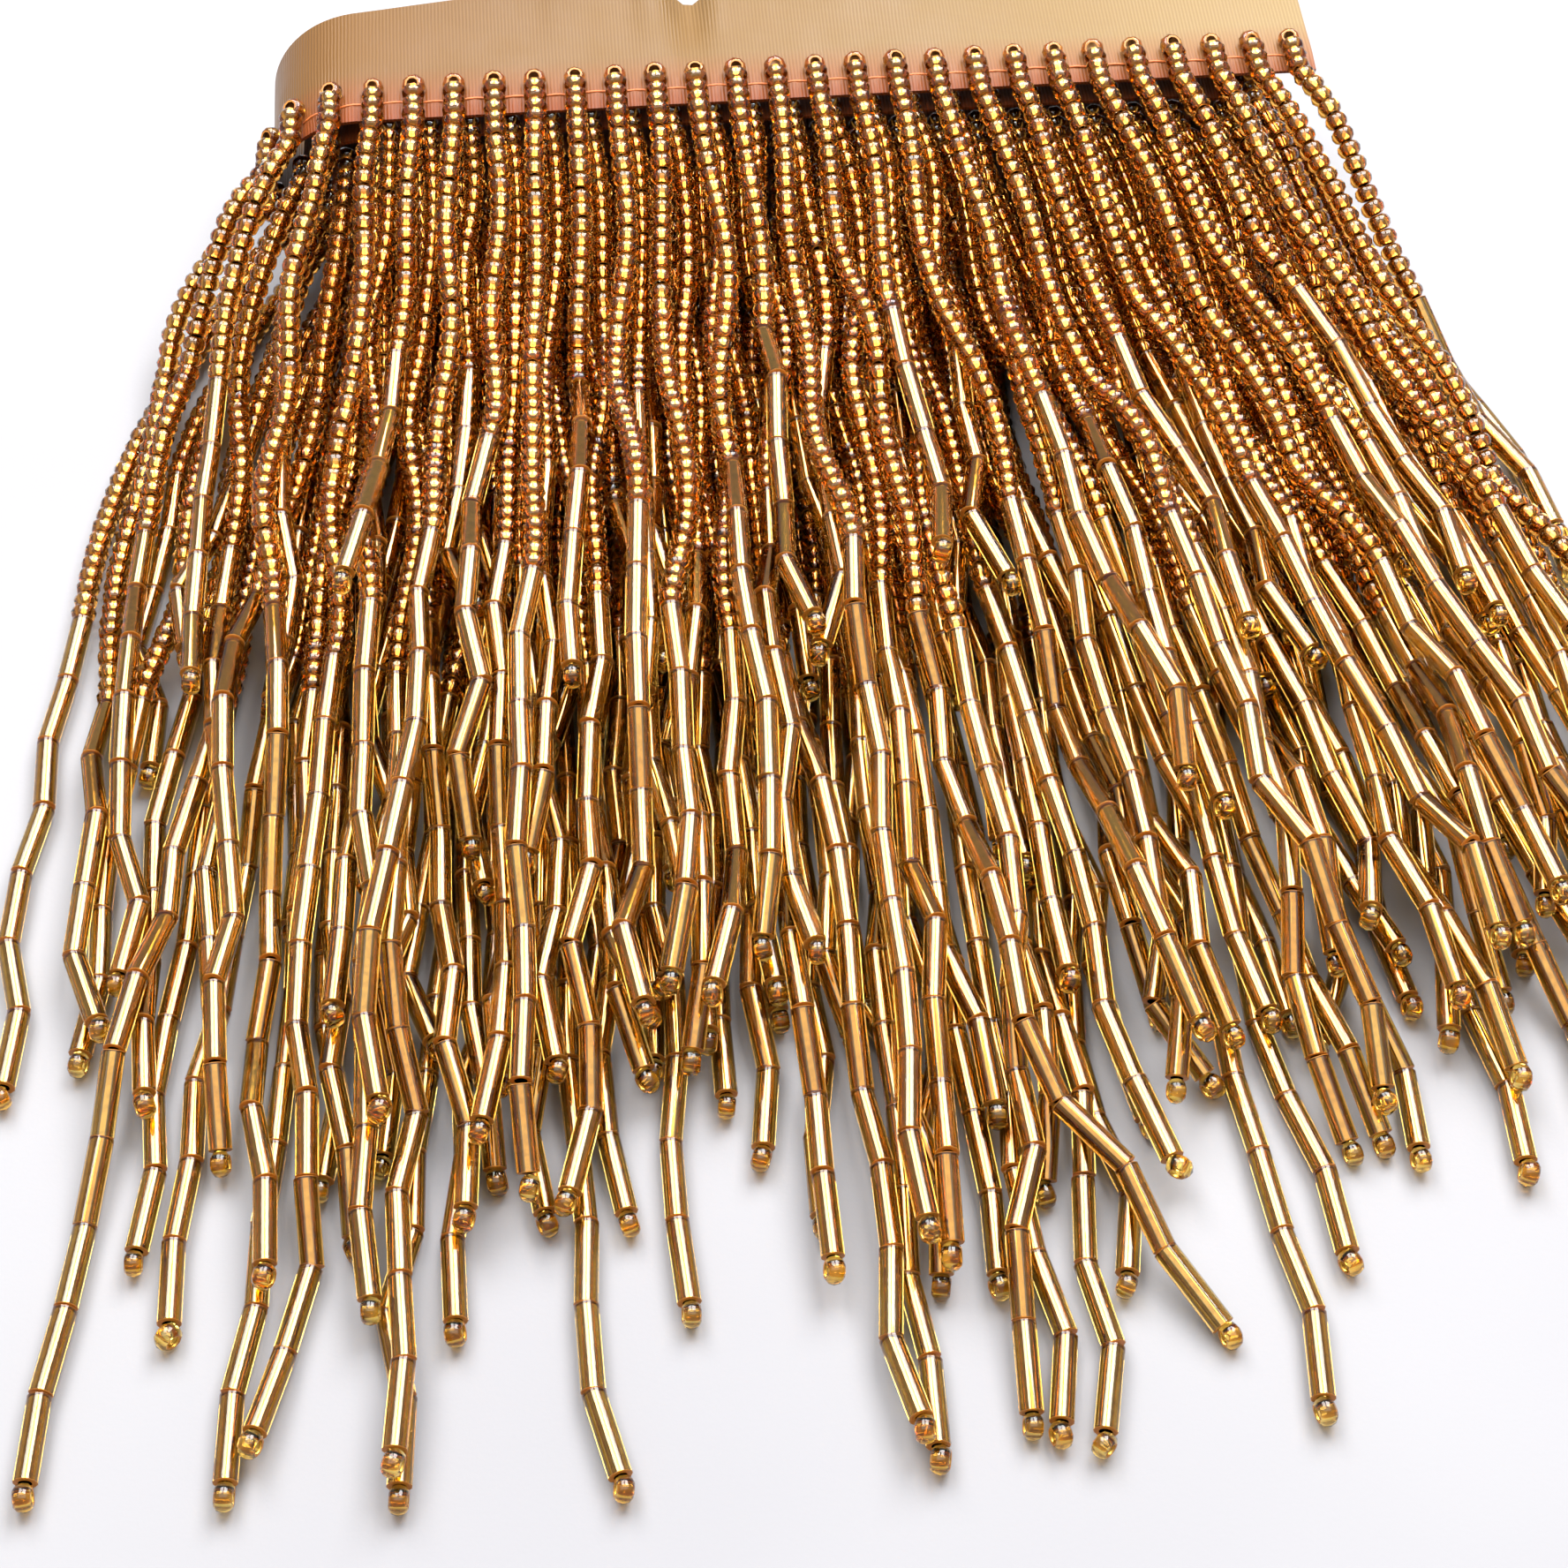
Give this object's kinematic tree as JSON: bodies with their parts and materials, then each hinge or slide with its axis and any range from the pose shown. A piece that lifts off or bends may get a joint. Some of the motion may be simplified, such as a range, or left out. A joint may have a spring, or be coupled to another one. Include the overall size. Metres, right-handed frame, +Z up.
{
  "type": "beaded fringe trim",
  "caption": "Wound length of satin heading ribbon with a dense fringe of seed bead and bugle bead strands along one edge, lying in a heap.",
  "frame": {"origin": "middle of the wound heading's flat underside, on the surface it lies on", "axes": "+Z up, the least size; -Y the way the strands fall; +X along the wound heading, towards the free end of the ribbon"},
  "size_m": [0.164, 0.1494, 0.0197],
  "materials": {
    "satin_ribbon": "woven satin, soft sheen, honey to cream",
    "gold_glass_beads": "transparent amber glass, hole lined with bright metal"
  },
  "bodies": {
    "root": {"heading_ribbon": "satin_ribbon", "fringe_turn_1": "gold_glass_beads", "fringe_turn_2": "gold_glass_beads", "fringe_turn_3": "gold_glass_beads", "fringe_turn_4": "gold_glass_beads"}
  },
  "joints": []
}
